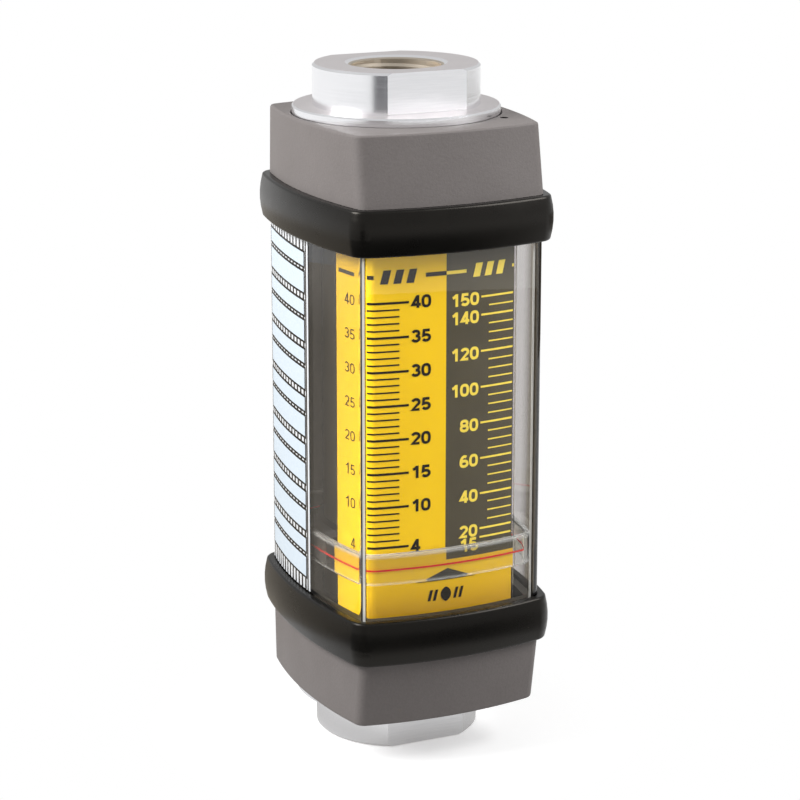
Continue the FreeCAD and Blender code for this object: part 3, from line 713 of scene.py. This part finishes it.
def stroke(points, pen):
    closed = math.dist(points[0], points[-1]) < 1e-6
    pairs = []
    for n, (x, y) in enumerate(points):
        before = points[n - 1] if n else (points[-2] if closed else None)
        after = points[n + 1] if n < len(points) - 1 else (points[1] if closed else None)
        ways = []
        for one, two in ((before, (x, y)), ((x, y), after)):
            if one and two:
                run = math.dist(one, two)
                ways.append(((two[0] - one[0]) / run, (two[1] - one[1]) / run))
        along = (sum(way[0] for way in ways), sum(way[1] for way in ways))
        size = math.hypot(*along)
        along = (along[0] / size, along[1] / size)
        open_out = max(0.5, along[0] * ways[0][0] + along[1] * ways[0][1])
        side = (-along[1] * pen / 2 / open_out, along[0] * pen / 2 / open_out)
        pairs.append(((x + side[0], y + side[1]), (x - side[0], y - side[1])))
    return pairs


print("pen ready")

# %% [markdown]
# ## Numerals
# Each numeral sits in a small box one unit high, and the next one starts a fixed step further on.
# The closed ones are squarish rings, and the open ones are arcs that run on into straight lines.
# The side of the guard is measured from front to rear, and there a number is written the other
# way, with a minus sign, so that it reads the right way round.

# %% Numerals
numerals = {
    "0": [squarish(0.38, 0.5, 0.28, 0.40, full=2.6)],
    "1": [[(0.50, 0.0), (0.50, 1.0)], [(0.16, 0.70), (0.30, 0.75), (0.44, 0.88)]],
    "2": [arc(0.38, 0.68, 0.27, 0.22, 165, -35) + [(0.14, 0.10), (0.68, 0.10)]],
    "3": [arc(0.37, 0.705, 0.25, 0.195, 160, -90), arc(0.37, 0.31, 0.28, 0.21, 90, -160)],
    "4": [[(0.76, 0.27), (0.12, 0.27), (0.50, 0.92)], [(0.53, 0.0), (0.53, 1.0)]],
    "5": [[(0.66, 0.90), (0.20, 0.90), (0.15, 0.50)] + arc(0.37, 0.33, 0.29, 0.23, 130, -150)],
    "6": [squarish(0.38, 0.32, 0.28, 0.22), arc(0.42, 0.42, 0.32, 0.48, 60, 190)],
    "7": [[(0.08, 0.90), (0.68, 0.90), (0.48, 0.55), (0.34, 0.0)]],
    "8": [squarish(0.38, 0.70, 0.25, 0.20), squarish(0.38, 0.31, 0.28, 0.21)],
    "9": [squarish(0.38, 0.68, 0.28, 0.22), arc(0.34, 0.58, 0.32, 0.48, 240, 370)],
}
numeral_step, numeral_gap = 0.83, 0.07


def width_of(value, tall):
    return (len(str(value)) * numeral_step - numeral_gap) * tall


def number(value, start, low, tall, pen=0.225, way=1):
    strips = []
    for place, digit in enumerate(str(value)):
        for path in numerals[digit]:
            strips.append([tuple((start + (place * numeral_step + u) * tall * way, low + v * tall)
                                 for u, v in pair) for pair in stroke(path, pen)])
    return strips


print("numerals:", " ".join(numerals))

# %% [markdown]
# ## The left scale
# The left scale runs from 4 to 40 and is even, with a thin mark for every unit, and a long mark
# and a number at 4 and at every five from 10. The height of a mark follows from its value by one
# straight rule.

# %% Left scale marks
left_numbers = (4, *range(10, 41, 5))
numeral_tall = 3.35 * mm
left_rule, long_end, short_end, left_text = -22.4 * mm, -12.1 * mm, -14.6 * mm, -11.5 * mm
long_thick, short_thick = 0.62 * mm, 0.42 * mm


def up_left(value):
    return (61.8 + 1.806 * (value - 4)) * mm


marks = []
for value in range(4, 41):
    end, thick = (long_end, long_thick) if value in left_numbers else (short_end, short_thick)
    marks.append(ruled(left_rule, end, up_left(value), thick, 14))
for value in left_numbers:
    marks += number(value, left_text, up_left(value) - numeral_tall / 2, numeral_tall)
printed("left_scale_print", marks, on_scale, ink_dark)

# %% [markdown]
# ## The right scale
# The right scale gives the same flow in another unit, from 15 to 150, with a mark at every five
# and a number at each twenty and at both ends. Its numbers end just before its long marks begin,
# so their width is taken off. They hang a little below their marks, the lowest one most, to clear
# the next.

# %% Right scale marks
right_numbers = (15, *range(20, 141, 20), 150)
right_rule, wide_start, fine_start, right_text = 17.8 * mm, 8.1 * mm, 10.4 * mm, 7.4 * mm
wide_thick, fine_thick = 0.54 * mm, 0.38 * mm


def up_right(value):
    return (61.6 + 0.480 * (value - 15)) * mm


marks = []
for value in range(15, 151, 5):
    numbered = value in right_numbers
    start, thick = (wide_start, wide_thick) if numbered else (fine_start, fine_thick)
    marks.append(ruled(start, right_rule, up_right(value), thick))
    if numbered:
        drop = 1.5 * mm if value == 15 else 0.3 * mm
        marks += number(value, right_text - width_of(value, numeral_tall),
                        up_right(value) - numeral_tall / 2 - drop, numeral_tall)
printed("right_scale_print", marks, on_scale, ink_yellow)

# %% [markdown]
# ## Header
# Above the scales a ruled line is broken by a place for each unit, which is filled here with plain
# slanted bars. It changes from dark to yellow ink where the grey band begins.

# %% Header
def slants(left, low, wide, tall, count, gap):
    lean = tall * 0.25
    strips = []
    for n in range(count):
        start = left + n * (wide + gap)
        strips.append([((start, low), (start + lean, low + tall)),
                       ((start + wide, low), (start + wide + lean, low + tall))])
    return strips


header = 133.6 * mm
unit_bars = (header - 1.8 * mm, 2.0 * mm, 3.6 * mm, 3, 1.4 * mm)
dark = [ruled(-7.6 * mm, band_left, header, 1.1 * mm),
        ruled(-22.3 * mm, -21.2 * mm, header, 1.0 * mm, 2)]
dark += slants(-19.6 * mm, *unit_bars)
printed("header_print_dark", dark, on_scale, ink_dark)
light = [ruled(band_left, 3.7 * mm, header, 0.9 * mm),
         ruled(17.4 * mm, 18.0 * mm, header, 0.8 * mm, 1)]
light += slants(5.6 * mm, *unit_bars)
printed("header_print_light", light, on_scale, ink_yellow)

# %% [markdown]
# ## Pointer and drop
# Below the scales a wide flat pointer shows the zero, over a small drop between slanted bars. Both
# shapes end in a point, where a strip would have two points in one place, so a sliver of width is
# left there.

# %% Pointer and drop
sliver = 1e-6
pointer_left, pointer_wide, pointer_low, pointer_tall = -10.1 * mm, 17.1 * mm, 51.3 * mm, 3.4 * mm
pointer, half = [], 8
for n in range(2 * half + 1):
    across = pointer_left + pointer_wide * n / (2 * half)
    rise = max(sliver, pointer_tall * min(n / half, 2 - n / half))
    pointer.append(((across, pointer_low), (across, pointer_low + rise)))
printed("zero_pointer", [pointer], on_scale, ink_grey)

drop_x, drop_z, drop_wide, drop_tall = -1.7 * mm, 47.4 * mm, 1.5 * mm, 2.0 * mm
drop, parts = [], 18
for n in range(parts + 1):
    turn = math.pi * n / parts
    reach, up = drop_wide * math.sin(turn) ** 1.4, drop_z - drop_tall * math.cos(turn)
    drop.append(((drop_x - reach, up), (drop_x + reach + sliver, up)))
small_bars = (45.9 * mm, 0.8 * mm, 3.0 * mm, 2, 0.7 * mm)
drop_print = [drop] + slants(-6.9 * mm, *small_bars) + slants(0.4 * mm, *small_bars)
printed("drop_mark", drop_print, on_scale, ink_dark)

# %% [markdown]
# ## The folded strip
# The sheet's left edge folds back along the side of the guard. That strip carries the header line
# on, and repeats the left scale's numbers in a thin line.

# %% Folded strip
strip_rear, strip_front, strip_text, strip_tall = -19.2 * mm, -26.5 * mm, -26.6 * mm, 3.0 * mm
strip_header = [ruled(strip_rear, strip_front, header, 1.0 * mm, 4)]
printed("strip_header_print", strip_header, on_return, ink_grey)
strip_print = []
for value in left_numbers:
    strip_print += number(value, strip_text + width_of(value, strip_tall),
                          up_left(value) - strip_tall / 2, strip_tall, pen=0.10, way=-1)
printed("strip_scale_print", strip_print, on_return, ink_dark)

# %% [markdown]
# ## Shapes on the side label
# The label's large lettering is left off. Its place holds plain slanted bars, a broad one and a
# narrow one by turns, in a pale fill and black outline, with the ruled lines showing between them.
# Each bar is drawn twice: a larger dark one, and the pale one just above it, so that the dark rim
# reads as an outline.

# %% Label bars
def slanted_bar(low, tall, front, rear, rise, parts=14):
    return [((front + (rear - front) * n / parts, low + rise * n / parts),
             (front + (rear - front) * n / parts, low + tall + rise * n / parts))
            for n in range(parts + 1)]


bar_front, bar_rear, bar_rise, rim = -6.1 * mm, 23.0 * mm, 1.2 * mm, 0.6 * mm
first_bar, bar_pitch, bar_pairs = 47.2 * mm, 13.0 * mm, 7
fills, outlines = [], []
for n in range(bar_pairs):
    for higher, tall in ((0.0, 5.4 * mm), (7.0 * mm, 3.6 * mm)):
        low = first_bar + bar_pitch * n + higher
        fills.append(slanted_bar(low, tall, bar_front, bar_rear, bar_rise))
        outlines.append(slanted_bar(low - rim, tall + 2 * rim, bar_front - rim, bar_rear + rim,
                                    bar_rise))
printed("label_bar_outlines", outlines, on_label, ink_dark, 0.02 * mm)
printed("label_bars", fills, on_label, ink_pale, 0.04 * mm)

# %% [markdown]
# ## Threads in the ports
# A port's thread is one groove that climbs at a steady pitch. It could be cut with a boolean, but
# a boolean on a long helix is slow and leaves ragged ends. The crests are instead laid on the bore
# as one ridge with sloping flanks and a narrow flat top: the four points of its section are turned
# round the axis a step at a time while they climb.

# %% Threads
thread_r, pitch, per_turn = 12.0 * mm, 2.1 * mm, 72
thread_deep, mouth = 17 * mm, 0.95 * mm
ridge = ((0.03, 0.06), (-0.72, 0.42), (-0.72, 0.58), (0.03, 0.94))


def thread(name, low, high):
    mesh, build = bpy.data.meshes.new(name), bmesh.new()
    turns = (high - low - pitch) / pitch
    rows = []
    for n in range(int(turns * per_turn) + 1):
        turn, climb = 2 * math.pi * n / per_turn, low + pitch * n / per_turn
        rows.append([build.verts.new(((thread_r + out * mm) * math.cos(turn),
                                      (thread_r + out * mm) * math.sin(turn),
                                      climb + up * pitch)) for out, up in ridge])
    skin_over(build, rows, closed=True)
    build.faces.new(rows[0])
    build.faces.new(rows[-1][::-1])
    bmesh.ops.recalc_face_normals(build, faces=build.faces)
    into_mesh(build, mesh)
    mesh.materials.append(port_metal)
    piece = new_object(name, mesh)
    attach(piece, "casing")
    print(name, "has", round(turns, 1), "turns")


top_end, foot_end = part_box("upper_port")[1].z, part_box("lower_port")[0].z
thread("upper_thread", top_end - thread_deep, top_end - mouth)
thread("lower_thread", foot_end + mouth, foot_end + thread_deep)

# %% [markdown]
# ## Floor
# The meter stands on a wide pale sheet, which lies a hair below it so that no two faces share a
# plane. It is stage and not part of the meter.

# %% Floor
floor_mesh, build = bpy.data.meshes.new("floor"), bmesh.new()
bmesh.ops.create_grid(build, x_segments=8, y_segments=8, size=8.0)
into_mesh(build, floor_mesh)
floor = new_object("floor", floor_mesh)
floor.location.z = -0.0002
print("floor laid at", floor.location.z / mm, "mm")

# %% [markdown]
# ## Paper for the floor
# What the floor shows depends on who asks. Where it is looked at, it glows a plain white far away,
# and close to the meter it glows less over a pale surface, so that the shadow stays. Where it is
# only mirrored, the near part is a warm grey. Light that was mirrored before it went through
# plastic gets a dim glow, or every print inside the window would look milky. And where the floor
# only lights the meter, it is a dim surface with no glow.

# %% Floor paper
def rays(wire, *kinds):
    path = wire.node("LightPath")
    found = [Wire(wire.tree, path.socket.node.outputs[kind]) for kind in kinds]
    while len(found) > 1:
        found[:2] = [found[0].math("MAXIMUM", found[0], found[1])]
    return found[0]


def glow(wire, strength, colour=(1.0, 1.0, 1.0)):
    return wire.node("Emission", inputs={"Color": colour, "Strength": strength})


def both(first, second):
    return first.node("AddShader", inputs={0: first, 1: second})


near_until, far_from, warm = 0.027, 0.070, (1.0, 0.97, 0.93)
floor_paper, w = finish("floor_paper", Base_Color=(0.86, 0.86, 0.86), Roughness=0.9,
                        Specular_IOR_Level=0.1)
x, y = split(spot_on(w))[:2]
far = ramp(distance(x, y), near_until, far_from, kind="SMOOTHSTEP")
paper = Wire(w.tree, w.tree.nodes["Principled BSDF"].outputs[0])
dim_paper = w.node("BsdfDiffuse", inputs={"Color": (0.30, 0.30, 0.30)})
near = blended(rays(w, "Is Glossy Ray"), both(paper, glow(w, 0.38)),
               both(dim_paper, glow(w, 0.26, warm)))
shown = blended(far, near, glow(w, 1.0))
bounced = rays(w, "Is Transmission Ray") * (rays(w, "Glossy Depth") > 0.5)
shown = blended(bounced, shown, glow(w, 0.40, warm))
seen = rays(w, "Is Camera Ray", "Is Glossy Ray", "Is Transmission Ray")
cover(blended(seen, dim_paper, shown))
floor_mesh.materials.append(floor_paper)
print("floor paper ready")

# %% [markdown]
# ## Backdrop
# The world behind the meter follows the same idea. It is white where it is looked at or seen
# through plastic, dimmer for light that was mirrored before, and dimmest where it only lights the
# meter.

# %% World
world = bpy.data.worlds.new("studio")
bpy.context.scene.world = world
world.use_nodes = True
w = Wire(world.node_tree)
mirrored = rays(w, "Glossy Depth") > 0.5
seen = rays(w, "Is Camera Ray", "Is Transmission Ray") * (1.0 - mirrored)
backdrop = world.node_tree.nodes["Background"]
backdrop.inputs["Color"].default_value = (1.0, 1.0, 1.0, 1.0)
strength = 0.30 + 0.70 * seen + 0.35 * mirrored
world.node_tree.links.new(strength.socket, backdrop.inputs["Strength"])
print("backdrop ready")

# %% [markdown]
# ## Cards for the reflections
# Metal and glossy rubber show what stands round them. In an all-white room they look flat, so a
# studio lays dark cards where they will be mirrored. These lie on the floor as parts of a ring,
# and only mirrored rays meet them: a near black one in front, a warm grey one to the left and
# rear, a dark one further off at the front left, and a brown one to the right. Each fades to a
# lighter tone, either towards its outer edge or, where `turn` is given, round the meter.

# %% Cards
def card(name, start, stop, inner, outer, near_colour, far_colour, turn=None, steps=24):
    mesh, build = bpy.data.meshes.new(name), bmesh.new()
    rows = []
    for n in range(steps + 1):
        angle = math.radians(start + (stop - start) * n / steps)
        rows.append([build.verts.new((math.sin(angle) * reach, -math.cos(angle) * reach, 0.0))
                     for reach in (inner, outer)])
    skin_over(build, rows)
    into_mesh(build, mesh)
    material, wire = finish(name, Base_Color=near_colour, Roughness=1.0, Specular_IOR_Level=0.0)
    x, y = split(spot_on(wire))[:2]
    if turn:
        fade = (x.math("ARCTAN2", x, y * -1.0), *(math.radians(degrees) for degrees in turn))
    else:
        fade = (distance(x, y), inner + 0.7 * (outer - inner), outer)
    feed(material, Base_Color=mixed(near_colour, far_colour, ramp(*fade, kind="SMOOTHSTEP")))
    mesh.materials.append(material)
    piece = new_object(name, mesh)
    piece.location.z = 0.0004
    piece.visible_camera = piece.visible_diffuse = piece.visible_shadow = False
    piece.visible_transmission = False
    print(name, "lies from", inner, "to", outer, "m")


card("front_card", -115, 55, 0.10, 0.60, (0.06, 0.06, 0.06), (0.26, 0.25, 0.24), turn=(25, 50))
card("left_card", -205, -115, 0.08, 0.62, (0.36, 0.325, 0.275), (0.68, 0.625, 0.55))
card("dark_card", -56, -34, 0.60, 4.0, (0.10, 0.10, 0.11), (0.3, 0.3, 0.3))
card("right_card", 76, 150, 0.45, 1.10, (0.20, 0.17, 0.14), (0.4, 0.37, 0.34))

# %% [markdown]
# ## Lamps
# A soft lamp high on the left gives the side faces more light than the front, and a weaker one
# high in front, to the right, lights the scale and both port faces. Both hang fairly near, so the
# light falls off down the meter as it does on a table.

# %% Lamps
def soft_lamp(name, place, power):
    aim, wide = Vector((0.0, 0.0, 0.11)), 0.42
    light = bpy.data.lights.new(name, "AREA")
    light.shape, light.size, light.energy = "SQUARE", wide, power
    lamp = new_object(name, light)
    lamp.location = place
    lamp.rotation_euler = (aim - Vector(place)).to_track_quat("-Z", "Y").to_euler()
    print(name, "gives", power, "watts")


soft_lamp("left_lamp", (-0.63, 0.08, 0.55), 6.8)
soft_lamp("front_lamp", (0.47, -0.36, 0.55), 4.15)

# %% [markdown]
# ## Close the lesson
# The view layer is brought up to date at the end.

# %% Finish
bpy.context.view_layer.update()
